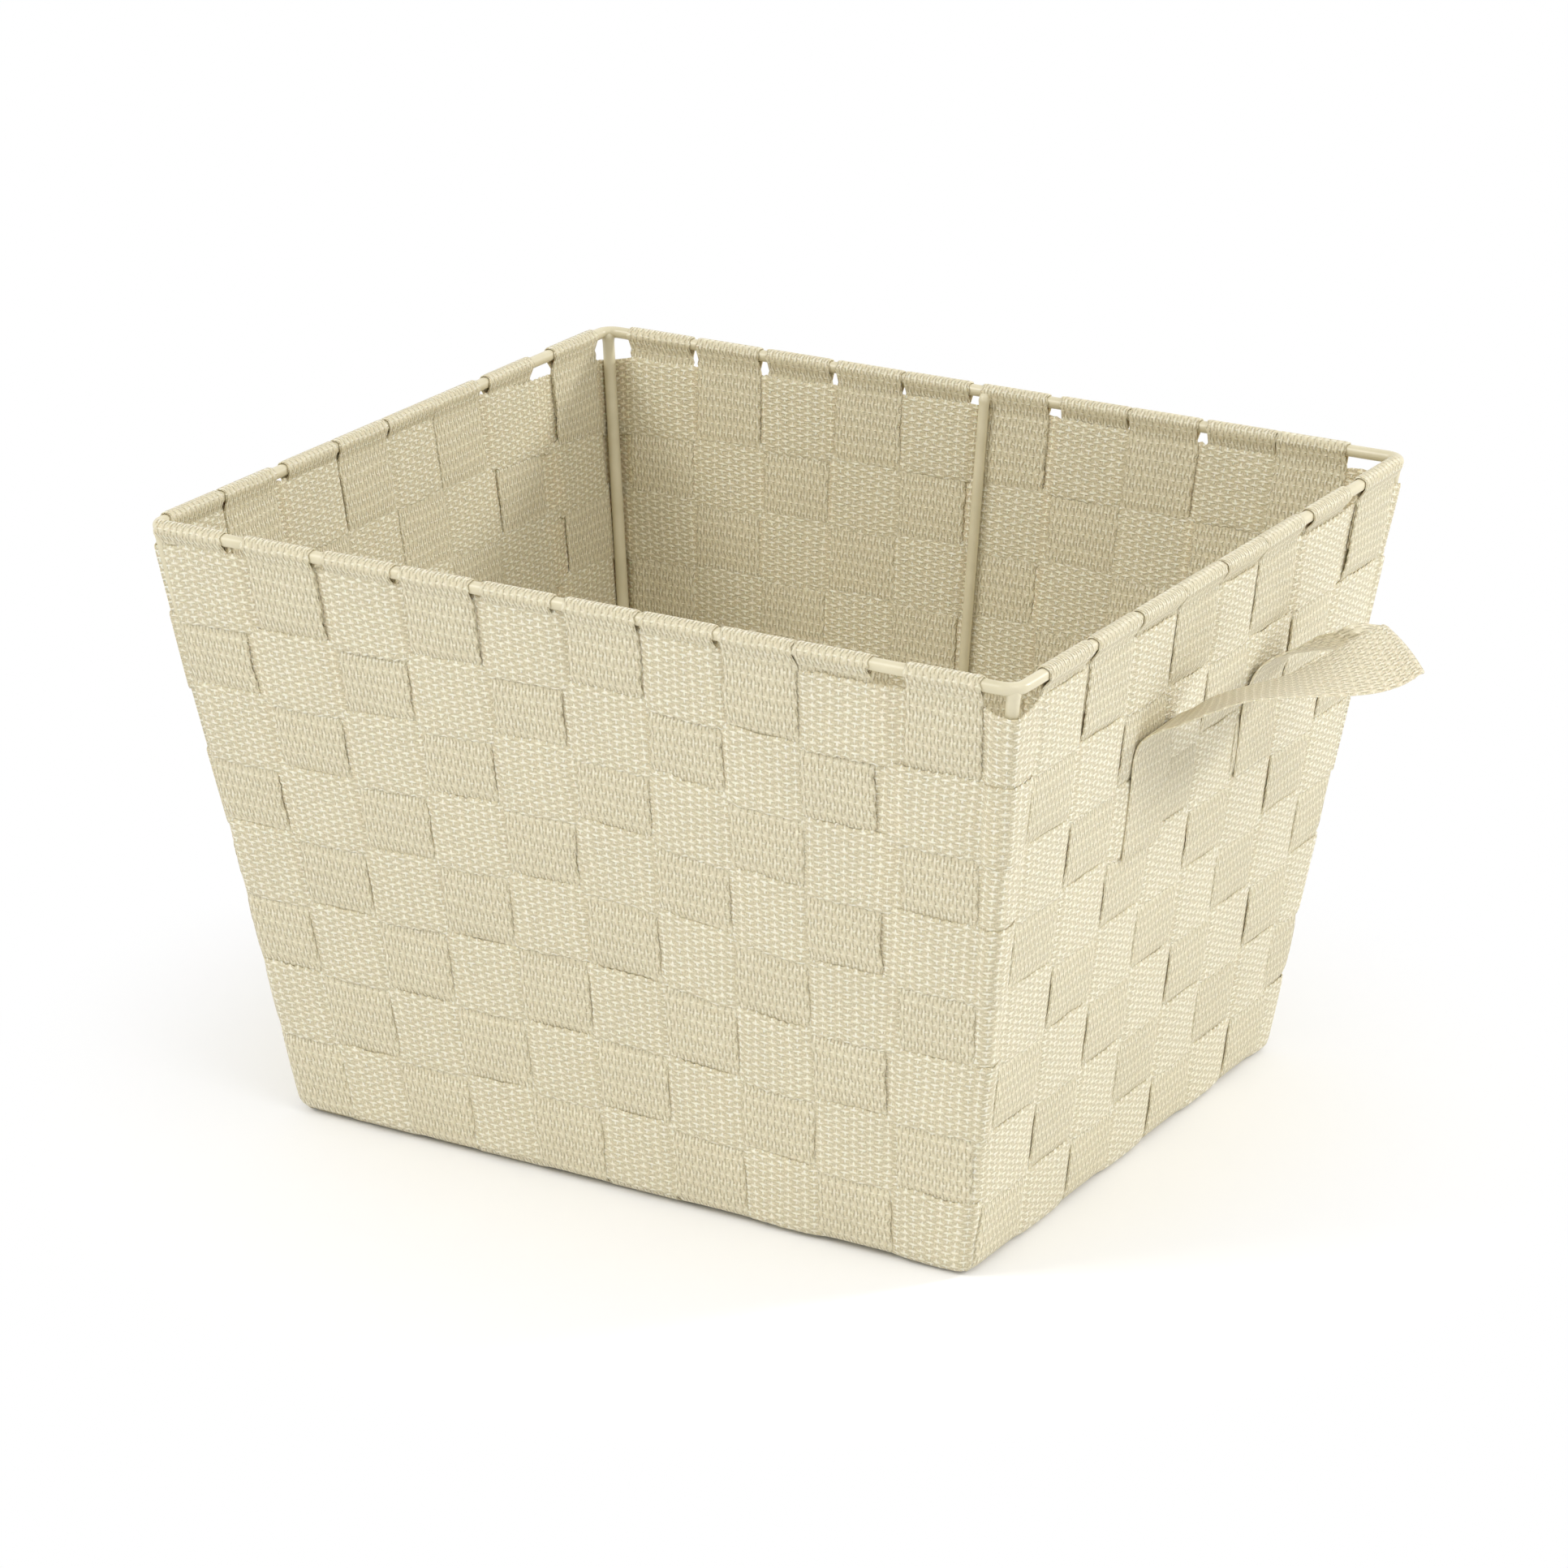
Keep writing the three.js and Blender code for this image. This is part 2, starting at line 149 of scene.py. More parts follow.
def makeWebbing(name, look):
    # Woven polypropylene tape in soft cream, a little translucent. Each repeat has two shiny yarn
    # floats lying along the tape, one with its weft tie to the left and the other to the right, so
    # that it looks like small interlocked Ts. Its colour carries painted shade in the furrows and
    # pits and a painted highlight on the floats and ties.
    material = newMaterial(name)
    tree = material.node_tree
    acrossRepeat, alongRepeat = webbing["acrossRepeat"], webbing["alongRepeat"]
    place = add(tree, "UVMap", uv_map="tape")
    drifted = place
    for often, far in (webbing["drift"], webbing["jitter"]):
        wander = add(tree, "TexNoise", {"Vector": place, "Scale": often, "Detail": 2.0})
        wander = wander.outputs["Color"]
        wander = add(tree, "VectorMath", (wander, (0.5, 0.5, 0.5)), operation="SUBTRACT")
        wander = add(tree, "VectorMath", (wander, far), operation="MULTIPLY")
        drifted = add(tree, "VectorMath", (drifted, wander), operation="ADD")
    parts = add(tree, "SeparateXYZ", [drifted]).outputs
    across, along = parts["X"], parts["Y"]

    def wrapped(value, size):
        return add(tree, "Math", (value, size / 2, -size / 2), operation="WRAP")

    def ellipse(x, y, halfX, halfY):
        # 1 at its middle, 0 from its outline on
        inside = 1.0
        for value, half in ((x, halfX), (y, halfY)):
            share = add(tree, "Math", (value, half), operation="DIVIDE")
            share = add(tree, "Math", (share, 2.0), operation="POWER")
            inside = add(tree, "Math", (inside, share), operation="SUBTRACT")
        inside = add(tree, "Math", (inside, 0.0), operation="MAXIMUM")
        return add(tree, "Math", (inside, webbing["roundness"]), operation="POWER")

    def floatAndTie(x, y):
        x, y = wrapped(x, acrossRepeat), wrapped(y, alongRepeat)
        beside = add(tree, "Math", (x, webbing["tieShift"]), operation="ADD")
        yarn = ellipse(x, y, *webbing["float"])
        tie = ellipse(wrapped(beside, acrossRepeat), y, *webbing["tie"])
        return add(tree, "Math", (yarn, tie), operation="MAXIMUM")

    mirrored = add(tree, "Math", (webbing["shift"], across), operation="SUBTRACT")
    second = add(tree, "Math", (along, alongRepeat / 2), operation="ADD")
    raised = (floatAndTie(across, along), floatAndTie(mirrored, second))
    raised = add(tree, "Math", raised, operation="MAXIMUM")

    # two furrows to a repeat, swinging twice as they go along it
    ripple = add(tree, "Math", (along, alongRepeat / 4 / math.pi), operation="DIVIDE")
    ripple = add(tree, "Math", [ripple], operation="SINE")
    swung = add(tree, "Math", (ripple, webbing["ripple"], across), operation="MULTIPLY_ADD")
    ribs = add(tree, "Math", (swung, acrossRepeat / 2 / math.pi), operation="DIVIDE")
    ribs = add(tree, "Math", [ribs], operation="SINE")
    ribs = add(tree, "Math", [ribs], operation="ABSOLUTE")
    ribs = add(tree, "Math", (ribs, look["ribs"]), operation="MULTIPLY")
    raised = add(tree, "Math", (raised, look["floats"], ribs), operation="MULTIPLY_ADD")

    grain = {"Vector": place, "Scale": webbing["fibreScale"], "Detail": 3.0}
    fibre = add(tree, "TexNoise", grain).outputs["Fac"]
    fibre = add(tree, "Math", (fibre, 0.5), operation="SUBTRACT")
    height = add(tree, "Math", (fibre, look["fibre"], raised), operation="MULTIPLY_ADD")
    # Painted shade and highlight: the colour follows the height, dark in the crevices and furrows
    # between the yarns where shade falls, and light on the crowns of the floats and ties where
    # light catches them.
    creviceShade, body, crown = look["creviceShade"], look["body"], look["crown"]
    stops = [(0.0, creviceShade), (0.32, body), (0.5, body), (0.95, crown)]
    tone = add(tree, "ValToRGB", [height], stops=stops)
    cloud = {"Vector": place, "Scale": webbing["cloudScale"], "Detail": 2.0}
    cloud = add(tree, "TexNoise", cloud).outputs["Fac"]
    dark, light = webbing["cloudShade"]
    shade = add(tree, "MapRange", {"Value": cloud, "To Min": dark, "To Max": light})
    relief = {"Height": height, "Distance": webbing["relief"] * mm, "Strength": 1.0}
    shader = add(
        tree,
        "BsdfPrincipled",
        {
            "Base Color": add(tree, "HueSaturation", {"Value": shade, "Color": tone}),
            "Roughness": webbing["roughness"],
            "Specular IOR Level": webbing["specular"],
            "Subsurface Weight": webbing["translucence"],
            "Subsurface Radius": webbing["glow"],
            "Subsurface Scale": mm,
            "Anisotropic": webbing["stretch"],
            "Tangent": add(tree, "Tangent", direction_type="UV_MAP", uv_map="tape"),
            "Sheen Weight": webbing["sheen"][0],
            "Sheen Roughness": webbing["sheen"][1],
            "Normal": add(tree, "Bump", relief),
        },
    )
    add(tree, "OutputMaterial", {"Surface": shader})
    return material


paint = {
    "low": "#CFC6A6",
    "high": "#DDD4B6",
    "patchScale": 60.0,  # per metre
    "peelScale": 900.0,
    "peelDepth": 0.05,
    "roughness": 0.36,
    "coat": (0.15, 0.2),  # its weight and its roughness
}


def makePaintedWire():
    # Mild steel wire, powder coated: an even satin cream skin with a faint orange-peel ripple.
    material = newMaterial("powder_coated_steel")
    tree = material.node_tree
    place = add(tree, "TexCoord").outputs["Object"]
    peel = {"Vector": place, "Scale": paint["peelScale"], "Detail": 2.0}
    peel = add(tree, "TexNoise", peel).outputs["Fac"]
    patch = {"Vector": place, "Scale": paint["patchScale"], "Detail": 3.0}
    patch = add(tree, "TexNoise", patch).outputs["Fac"]
    stops = [(0.3, paint["low"]), (0.7, paint["high"])]
    relief = {"Height": peel, "Distance": paint["peelDepth"] * mm, "Strength": 0.6}
    shader = add(
        tree,
        "BsdfPrincipled",
        {
            "Base Color": add(tree, "ValToRGB", [patch], stops=stops),
            "Roughness": paint["roughness"],
            "Coat Weight": paint["coat"][0],
            "Coat Roughness": paint["coat"][1],
            "Normal": add(tree, "Bump", relief),
        },
    )
    add(tree, "OutputMaterial", {"Surface": shader})
    return material


# One webbing in two copies: a lit one for the rows, and a shaded one for the upright straps and
# handles.
rowLitWebbing = makeWebbing("woven_polypropylene_webbing", rowLitLook)
uprightShadedWebbing = makeWebbing("woven_polypropylene_webbing_ribbed_shaded", uprightShadedLook)
paintedWire = makePaintedWire()
print("materials ready")

# The bin's surface: four leaning walls, rounded corners, a fold and a flat base.

shell = {
    "wireRadius": 2.2,  # of the plain wires that the finished ones replace
    "tilt": math.radians(7.8),
    "cornerAtRim": 2.2,
    "cornerAtBase": 7.5,
    "cornerGrowth": 1.6,  # above 1 keeps the corners tight for longer on the way down
    "foldRadius": 5.0,
    "baseLevel": 1.35,
    "overRim": 9,  # the flare goes on this far above the rim's level
    "flatten": 20,  # under the base the corners' rounding ends over this distance
}
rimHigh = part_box("rim_wire")[1]
rimHalf = [rimHigh.x / mm - shell["wireRadius"], rimHigh.y / mm - shell["wireRadius"]]
rimHeight = rimHigh.z / mm - shell["wireRadius"]
sinTilt, cosTilt = math.sin(shell["tilt"]), math.cos(shell["tilt"])
foldRadius = shell["foldRadius"]
foldHeight = shell["baseLevel"] + foldRadius
foldStart = (rimHeight - foldHeight + foldRadius * sinTilt) / cosTilt
foldEnd = foldStart + foldRadius * (math.pi / 2 - shell["tilt"])
foldInset = foldStart * sinTilt + foldRadius * cosTilt

# In ring order, from the front: the way a wall runs, the way it faces, its half length at the rim
# and its distance out.
walls = []
for wall, (x, y) in enumerate([(1, 0), (0, 1), (-1, 0), (0, -1)]):
    half, distance = rimHalf[wall % 2], rimHalf[1 - wall % 2]
    along, out = Vector((x, y, 0)), Vector((y, -x, 0))
    walls.append({"along": along, "out": out, "half": half, "place": distance})


def clamp(value, low=0.0, high=1.0):
    return max(low, min(high, value))


def mix(a, b, share):
    return a + (b - a) * share


def profile(down):
    # How far in from the rim and how high the surface is, and which way it faces (out, up).
    if down <= foldStart:
        return down * sinTilt, rimHeight - down * cosTilt, cosTilt, -sinTilt
    turn = min(shell["tilt"] + (down - foldStart) / foldRadius, math.pi / 2)
    inset = foldInset - foldRadius * math.cos(turn) + max(0.0, down - foldEnd)
    return inset, foldHeight - foldRadius * math.sin(turn), math.cos(turn), -math.sin(turn)


def cornerRadius(down):
    share = clamp(down / foldStart) ** shell["cornerGrowth"]
    return mix(shell["cornerAtRim"], shell["cornerAtBase"], share)


def flatReach(wall, down):
    # How far the flat part of a wall runs from its middle.
    inset = clamp(down, -shell["overRim"], foldStart) * sinTilt
    return walls[wall]["half"] - inset - cornerRadius(down)


def binPoint(wall, along, down, offset):
    # A point at an offset from the surface: along is counted from the wall's middle, and down
    # from the rim.
    inset, height, outward, upward = profile(down)
    wide = cornerRadius(down)
    reach = flatReach(wall, down)
    tight = wide - clamp(inset - foldStart * sinTilt, 0, foldRadius * cosTilt)
    sideways, facing = 0.0, 1.0
    out = walls[wall]["place"] - inset
    if abs(along) > reach:
        angle = (abs(along) - reach) / wide
        quarter = min(angle, math.pi / 2)
        sideways, facing = math.copysign(math.sin(quarter), along), math.cos(quarter)
        spread = clamp(1 - (down - foldEnd) / shell["flatten"])
        out -= tight * (1 - facing) * spread + max(0.0, angle - quarter) * wide * spread
        along = math.copysign(reach, along) + tight * sideways
    along += offset * outward * sideways
    out += offset * outward * facing
    point = walls[wall]["along"] * along + walls[wall]["out"] * out
    point.z = height + offset * upward
    return point


# How the straps lie.

layout = {
    "rowWidth": 33.4,
    "rowMiddles": [22, 52, 81, 110.5, 140, 170.5, 202, 234],
    # Places round the ring, where 0 is the front left corner and 1 the front right one, and how
    # much lower than its middle each row lies there.
    "rowPlaces": [0.1, 0.49, 0.8, 1.0, 1.2, 1.95, 2.45, 3.0, 3.45],
    "rowSags": [
        [0, -2.5, 2, 3.3, 2, 2, 0.5, 4.5, -3],
        [0, -4, 3, 4, 4, 5, 1.5, 3, -1.5],
        [0, -5, 4.5, 5, 6, 6, 1, 1.5, 0],
        [0, -4.5, 5, 6, 6.5, 6, 0, 1, 0.5],
        [0, -4, 5.5, 6, 7, 6, 1, 1, 0],
        [0, -1, 5.5, 6, 7, 6, 1, 1, 1],
        [0, 0, 4.5, 5, 6, 5, 1, 0, 0],
        [0, -1, 3, 4, 5, 4, 1, 0, 0],
    ],
    "cornerDip": (2.6, 12),  # the first row drops this much at a corner, starting this far away
    "columnWidths": [31.6, 34.2, 31.6, 34.2],
    # Where each wall's upright straps lie, from the wall's own middle, at the rim and at the base.
    "rimMiddles": [
        [-171.5, -130, -92.7, -57, -20.5, 16.5, 50, 84, 115.4, 161.6],
        [-127, -89.5, -53, -19, 16.5, 50, 92.5, 140.5],
        [-150.4, -118.9, -83.4, -51.1, -13.5, 24, 57, 92, 127, 162],
        [-136, -85, -43.5, -10.6, 25, 61, 103.5, 139],
    ],
    "baseMiddles": [
        [-141.8, -113.3, -82.8, -51.9, -21.8, 10.1, 42.6, 74.5, 106.7, 140],
        [-110.5, -74, -38, -6.5, 31, 62.5, 99.5, 124],
        [-137, -105, -74, -43, -12, 19, 49, 80, 110, 140],
        [-117, -80, -46, -13, 19, 51, 85, 117],
    ],
}
countOf = [len(middles) for middles in layout["rimMiddles"]]
firstRing = [sum(countOf[:wall]) for wall in range(4)]  # each wall's straps count on from here
rowCount = len(layout["rowMiddles"])

weave = {
    "thickness": 0.85,
    "amplitude": 0.54,  # how far a strap lies from the bin's surface at a crossing
    "firstAmplitude": 0.85,  # at the first row, which holds the tails too
    "crown": 0.32,  # and how much further the middle of the crossing stands out
    "hug": 0.3,  # a strap's edges lie this much closer to the strap below than its middle does
    "hugPower": 5,
    "reach": 4.2,  # a strap changes sides within this distance of the boundary
    "lastCell": 30,  # how long the cells before a strap's first boundary and after its last are
    "rowDraw": 0.6,  # rows, and upright straps, dip this far before their neighbour begins
    "uprightDraw": 2.3,
    "cornerOut": (2.2, 0.5),  # a row stands out this far round a post, at the rim and at the base
    "cornerReach": 5,  # and is out there this far past the last upright strap
    "lapReach": 2,  # two rows' laps part over this distance
}


def passesOutside(ring, row):
    return (ring + row) % 2 == 1


def betweenPlaces(places, values, place):
    # Smooth interpolation round the ring, which is four walls long.
    place %= 4
    index = bisect.bisect(places, place)
    before, after = (index - 1) % len(places), index % len(places)
    span = (places[after] - places[before]) % 4
    share = ((place - places[before]) % 4) / span
    return mix(values[before], values[after], (1 - math.cos(math.pi * share)) / 2)


def rowMiddle(row, wall, along):
    middle = layout["rowMiddles"][row - 1]
    length = walls[wall]["half"] - middle * sinTilt
    place = wall + clamp((along / length + 1) / 2)
    return middle + betweenPlaces(layout["rowPlaces"], layout["rowSags"][row - 1], place)


def columnMiddle(wall, index, down):
    share = clamp(down / foldStart)
    return mix(layout["rimMiddles"][wall][index - 1], layout["baseMiddles"][wall][index - 1], share)


def sideOffset(place, edges, sign, draw, t, amplitude, firstAmplitude=None):
    # The offset of a strap that swaps sides near each edge, starting on the side of sign.
    edges = [edge - draw * sign * (-1) ** k for k, edge in enumerate(edges)]
    cell = bisect.bisect(edges, place)
    low = edges[cell - 1] if cell else edges[0] - weave["lastCell"]
    high = edges[cell] if cell < len(edges) else edges[-1] + weave["lastCell"]
    near = min(abs(place - edge) for edge in edges[max(0, cell - 1) : cell + 1])
    ease = math.sin(math.pi / 2 * clamp(near / weave["reach"]))
    swell = weave["crown"] * math.sin(math.pi * clamp((place - low) / (high - low)))
    size = firstAmplitude if firstAmplitude is not None and cell == 0 else amplitude
    size += swell - weave["hug"] * abs(t) ** weave["hugPower"]
    return sign * (-1) ** cell * size * ease


# Strips of webbing.

mergeDistance = 0.01 * mm


def addPiece(name, bm, material, weld=True):
    if weld:
        bmesh.ops.remove_doubles(bm, verts=bm.verts, dist=mergeDistance)
    bmesh.ops.recalc_face_normals(bm, faces=bm.faces)
    for face in bm.faces:
        face.smooth = True
    mesh = bpy.data.meshes.new(name)
    bm.to_mesh(mesh)
    bm.free()
    mesh.materials.append(material)
    piece = bpy.data.objects.new(name, mesh)
    bpy.context.scene.collection.objects.link(piece)
    return piece


selvedge = {
    "start": 0.85,  # as a share of the half width
    "lip": 0.95,
    "waver": (0.9, 0.14),  # how far it wanders, and how often per millimetre
    "apart": (7.3, 3),  # how far apart two straps lie in the noise, and the two edges of one
    "scallop": 0.42,
    "scallopPitch": 3.68,
    "thin": {0: 0.35, 1: 0.8},  # the thickness of the outermost two lines, as a share of the rest
}
acrossPlaces = [-1, -0.97, -0.9, -0.76, -0.56, -0.3, 0, 0.3, 0.56, 0.76, 0.9, 0.97, 1]


def makeStrip(name, stations, width, placeOf, material, closed=False):
    # placeOf(station, t) gives the point at a share t, from -1 to 1, of the half width.
    points = [[placeOf(station, t) for t in acrossPlaces] for station in stations]
    rows, columns = len(stations) - 1, len(acrossPlaces) - 1
    lengths = [0.0]
    for before, after in zip(points, points[1:]):
        lengths.append(lengths[-1] + (after[columns // 2] - before[columns // 2]).length)
    bm = bmesh.new()
    bmesh.ops.create_grid(bm, x_segments=rows, y_segments=columns, size=0.5)
    tape = bm.loops.layers.uv.new("tape")
    group = bm.verts.layers.deform.new()
    for vertex in bm.verts:
        i, k = round((vertex.co.x + 0.5) * rows), round((vertex.co.y + 0.5) * columns)
        vertex.co = points[i][k] * mm
        vertex[group][0] = selvedge["thin"].get(min(k, columns - k), 1.0)
        for loop in vertex.link_loops:
            loop[tape].uv = (acrossPlaces[k] * width / 2, lengths[i])
    strip = addPiece(name, bm, material, weld=closed)
    strip.vertex_groups.new(name="body")
    solid = strip.modifiers.new("thickness", "SOLIDIFY")
    solid.thickness = weave["thickness"] * mm
    solid.offset = 0
    solid.vertex_group = "body"
    return strip, lengths[-1] * mm


def spaced(start, end, step):
    count = max(1, round(abs(end - start) / step))
    return [mix(start, end, i / count) for i in range(count + 1)]


def edgeShift(along, t, seed):
    # A selvedge wanders a little, each one in its own way, and is scalloped by the returning weft.
    if abs(t) < selvedge["start"]:
        return 0
    size, often = selvedge["waver"]
    strapsApart, edgesApart = selvedge["apart"]
    place = Vector((along * often, seed * strapsApart, math.copysign(edgesApart, t)))
    shift = size * noise.noise(place)
    if abs(t) > selvedge["lip"]:
        shift += selvedge["scallop"] * math.cos(2 * math.pi * along / selvedge["scallopPitch"])
    return t * shift


def cornerOut(down):
    return mix(*weave["cornerOut"], clamp(down / foldStart))


def between(middles):
    return [(a + b) / 2 for a, b in zip(middles, middles[1:])]


def rowEdges(wall, along):
    # Where the rows meet, down a wall.
    return between([rowMiddle(row, wall, along) for row in range(1, rowCount + 1)])


def columnEdges(wall, down):
    # Where the upright straps meet, along a wall, with the outer edges of the two at its ends.
    middles = [columnMiddle(wall, index, down) for index in range(1, countOf[wall] + 1)]
    half = layout["columnWidths"][wall] / 2
    return [middles[0] - half] + between(middles) + [middles[-1] + half]


def baseMiddle(wall):
    # How far down a wall's straps reach the middle of the base.
    return foldEnd + walls[wall]["place"] - foldInset


def foldCrossings(wall):
    # Where the straps that cross under the base meet, as distances down this wall's own straps.
    meets = columnEdges((wall + 1) % 4, foldStart)[1:-1]
    sign = 1 if wall in (0, 3) else -1
    return [baseMiddle(wall) + place for place in sorted(sign * meet for meet in meets)]


wrap = {
    "radius": 3.05,  # from the rim wire's middle to the middle of the strap's thickness
    "tailEnd": 27.0,
    "start": 6.0,  # the wrap is over by this far down
    "steps": 12,
    "spacing": 1.84,
    "foldSpacing": 0.9,
    "cornerSteps": 6,
}


def climbStations(wall, index):
    # From the tucked tail, over the rim wire, down the wall and to the middle of the base.
    ring = firstRing[wall] + index
    side = 1 if passesOutside(ring, 1) else -1
    tail = [("tail", down, 0.0) for down in spaced(wrap["tailEnd"], wrap["start"], wrap["spacing"])]
    radius, first = wrap["radius"], weave["firstAmplitude"]
    tailAngle = 2 * math.pi - math.acos(radius / wrap["start"])
    strapAngle = math.acos(radius / math.hypot(wrap["start"], first))
    strapAngle += math.atan2(first, wrap["start"])
    bend = []
    for step in range(wrap["steps"] + 1):
        angle = mix(tailAngle, strapAngle, step / wrap["steps"])
        bend.append(("wrap", radius * math.cos(angle), side * radius * math.sin(angle)))
    downs = spaced(wrap["start"], foldStart, wrap["spacing"])
    downs += spaced(foldStart, foldEnd, wrap["foldSpacing"])[1:]
    downs += spaced(foldEnd, baseMiddle(wall), wrap["spacing"])[1:]
    body = [("body", down, 0.0) for down in downs]
    return [(wall, ring, *station) for station in tail + bend + body]


def uprightStrap(name, node, near, far):
    # near and far are the two walls that it climbs, each with the strap's number along that wall.
    width = layout["columnWidths"][near[0]]
    order = dict([near, far])
    crossings = {wall: foldCrossings(wall) for wall in order}
    meeting = (columnMiddle(*near, foldStart) - columnMiddle(*far, foldStart)) / 2

    def placeOf(station, t):
        wall, ring, part, down, offset = station
        share = clamp((down - foldEnd) / (baseMiddle(wall) - foldEnd))
        own = columnMiddle(wall, order[wall], down)
        aim = meeting if wall == near[0] else -meeting
        own = mix(own, aim, (1 - math.cos(math.pi * share)) / 2)
        along = own + t * width / 2 + edgeShift(down, t, ring)
        if part == "body":
            sign = 1 if passesOutside(ring, 1) else -1
            edges = rowEdges(wall, along) + [(foldStart + foldEnd) / 2] + crossings[wall]
            sizes = weave["amplitude"], weave["firstAmplitude"]
            offset = sideOffset(down, edges, sign, weave["uprightDraw"], t, *sizes)
        return binPoint(wall, along, down, offset)

    stations = climbStations(*near) + climbStations(*far)[-2::-1]
    strap, length = makeStrip(name, stations, width, placeOf, uprightShadedWebbing)
    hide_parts(node)
    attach(strap, "bin")


for index in range(1, countOf[0] + 1):
    opposite = countOf[2] + 1 - index
    uprightStrap(f"long_wall_strap_{index}", f"lengthwise_strap_{index}", (0, index), (2, opposite))
for index in range(1, countOf[1] + 1):
    opposite = countOf[3] + 1 - index
    uprightStrap(f"short_wall_strap_{index}", f"crosswise_strap_{index}", (3, opposite), (1, index))
print("upright straps woven")


def cornerArc(down):
    # Half of a corner's bend, as a length.
    return cornerRadius(down) * math.pi / 4


def rowStations(row):
    stations = []
    for wall in range(4):
        length = 2 * flatReach(wall, layout["rowMiddles"][row - 1])
        corner = cornerArc(layout["rowMiddles"][row - 1])
        share = 1 - 2 * corner / (length + 2 * corner)
        places = spaced(-share, share, 2 * wrap["spacing"] / length)
        turn = spaced(share, 1, (1 - share) / wrap["cornerSteps"])
        places = [-place for place in turn[::-1]] + places[1:-1] + turn
        stations += [(wall, place) for place in places[:-1]]
    return stations + [(0, -1.0)]


def rowStrap(row):
    width = layout["rowWidth"]
    nominal = layout["rowMiddles"][row - 1]

    def placeOf(station, t):
        wall, share = station
        reach = flatReach(wall, nominal) + cornerArc(nominal)
        travelled = share * reach
        middle = rowMiddle(row, wall, travelled)
        if row == 1:
            dip, dipReach = layout["cornerDip"]
            middle += dip * clamp(1 - (reach - abs(travelled)) / dipReach)
        seed = 40 + row + 9 * wall  # past the upright straps' own numbers
        down = middle + t * width / 2 + edgeShift(travelled, t, seed)
        along = share * (flatReach(wall, down) + cornerArc(down))
        edges = columnEdges(wall, down)
        beyond = max(edges[0] - along, along - edges[-1])
        if beyond > 0:
            # past the last upright strap, a row goes out round the corner post
            lapped = weave["thickness"] / 2 * (-1) ** row * clamp(beyond / weave["lapReach"])
            turned = math.sin(math.pi / 2 * clamp(beyond / weave["cornerReach"])) ** 2
            return binPoint(wall, along, down, lapped + cornerOut(down) * turned)
        sign = -1 if passesOutside(firstRing[wall] + 1, row) else 1
        size = weave["firstAmplitude"] if row == 1 else weave["amplitude"]
        offset = -sideOffset(along, edges, sign, -weave["rowDraw"], t, size)
        return binPoint(wall, along, down, offset if edges[0] < along < edges[-1] else 0)

    stations = rowStations(row)
    strap, length = makeStrip(f"row_{row}", stations, width, placeOf, rowLitWebbing, closed=True)
    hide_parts(f"row_strap_{row}")
    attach(strap, "bin")


for row in range(1, rowCount + 1):
    rowStrap(row)
print("rows woven")

# Wires.

wires = {
    "facets": 24,
    "rimRadius": 2.5,
    "rimCorner": 6.5,
    "baseCorner": 3.9,
    "baseLift": 0.6,  # the visible base wire lies this much higher than the plain one
    "ringSteps": 10,
    "postRadius": 2.6,
    "postGap": 0.45,  # between a corner post's surface and the middle of a row
    "postFoot": 2,  # a corner post ends this far above the fold
    "middlePostRadius": 2.2,
    "middlePostOver": 1.2,
    "weldFlare": 0.3,
    # how wide the flare is, as a share, at heights above the foot and below the head
    "footFlare": [(1, 0), (0.3, 1.6), (0, 4)],
    "headFlare": [(0, 4.4), (0.25, 3.5), (1, 2.5), (0.6, 1.6), (0, 0.8)],
    "headCap": (0.8, 0.4, 0.8),  # the rounded end: its share of the radius, its height and its top
}


def wirePiece(name, bm, node):
    piece = addPiece(name, bm, paintedWire)
    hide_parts(node)
    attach(piece, "bin")


def ringWire(name, node, halfX, halfY, corner, height, radius):
    # One round section, drawn along each side and spun round each corner.
    bm = bmesh.new()
    start = Vector((-(halfX - corner), -halfY, height)) * mm
    turned = Matrix.Translation(start) @ Matrix.Rotation(math.pi / 2, 4, "Y")
    bmesh.ops.create_circle(bm, segments=wires["facets"], radius=radius * mm, matrix=turned)
    section = bm.edges[:]
    for x, y, half in [(1, 0, halfX), (0, 1, halfY), (-1, 0, halfX), (0, -1, halfY)]:
        drawn = bmesh.ops.extrude_edge_only(bm, edges=section)["geom"]
        moved = [part for part in drawn if isinstance(part, bmesh.types.BMVert)]
        bmesh.ops.translate(bm, verts=moved, vec=Vector((x, y, 0)) * 2 * (half - corner) * mm)
        chosen = set(moved)
        edges = [part for part in drawn if isinstance(part, bmesh.types.BMEdge)]
        section = [edge for edge in edges if set(edge.verts) <= chosen]
        middle = sum((vertex.co for vertex in moved), Vector()) / len(moved)
        turn = bmesh.ops.spin(
            bm,
            geom=section,
            cent=middle + Vector((-y, x, 0)) * corner * mm,
            axis=(0, 0, 1),
            angle=math.pi / 2,
            steps=wires["ringSteps"],
        )
        section = [part for part in turn["geom_last"] if isinstance(part, bmesh.types.BMEdge)]
    wirePiece(name, bm, node)


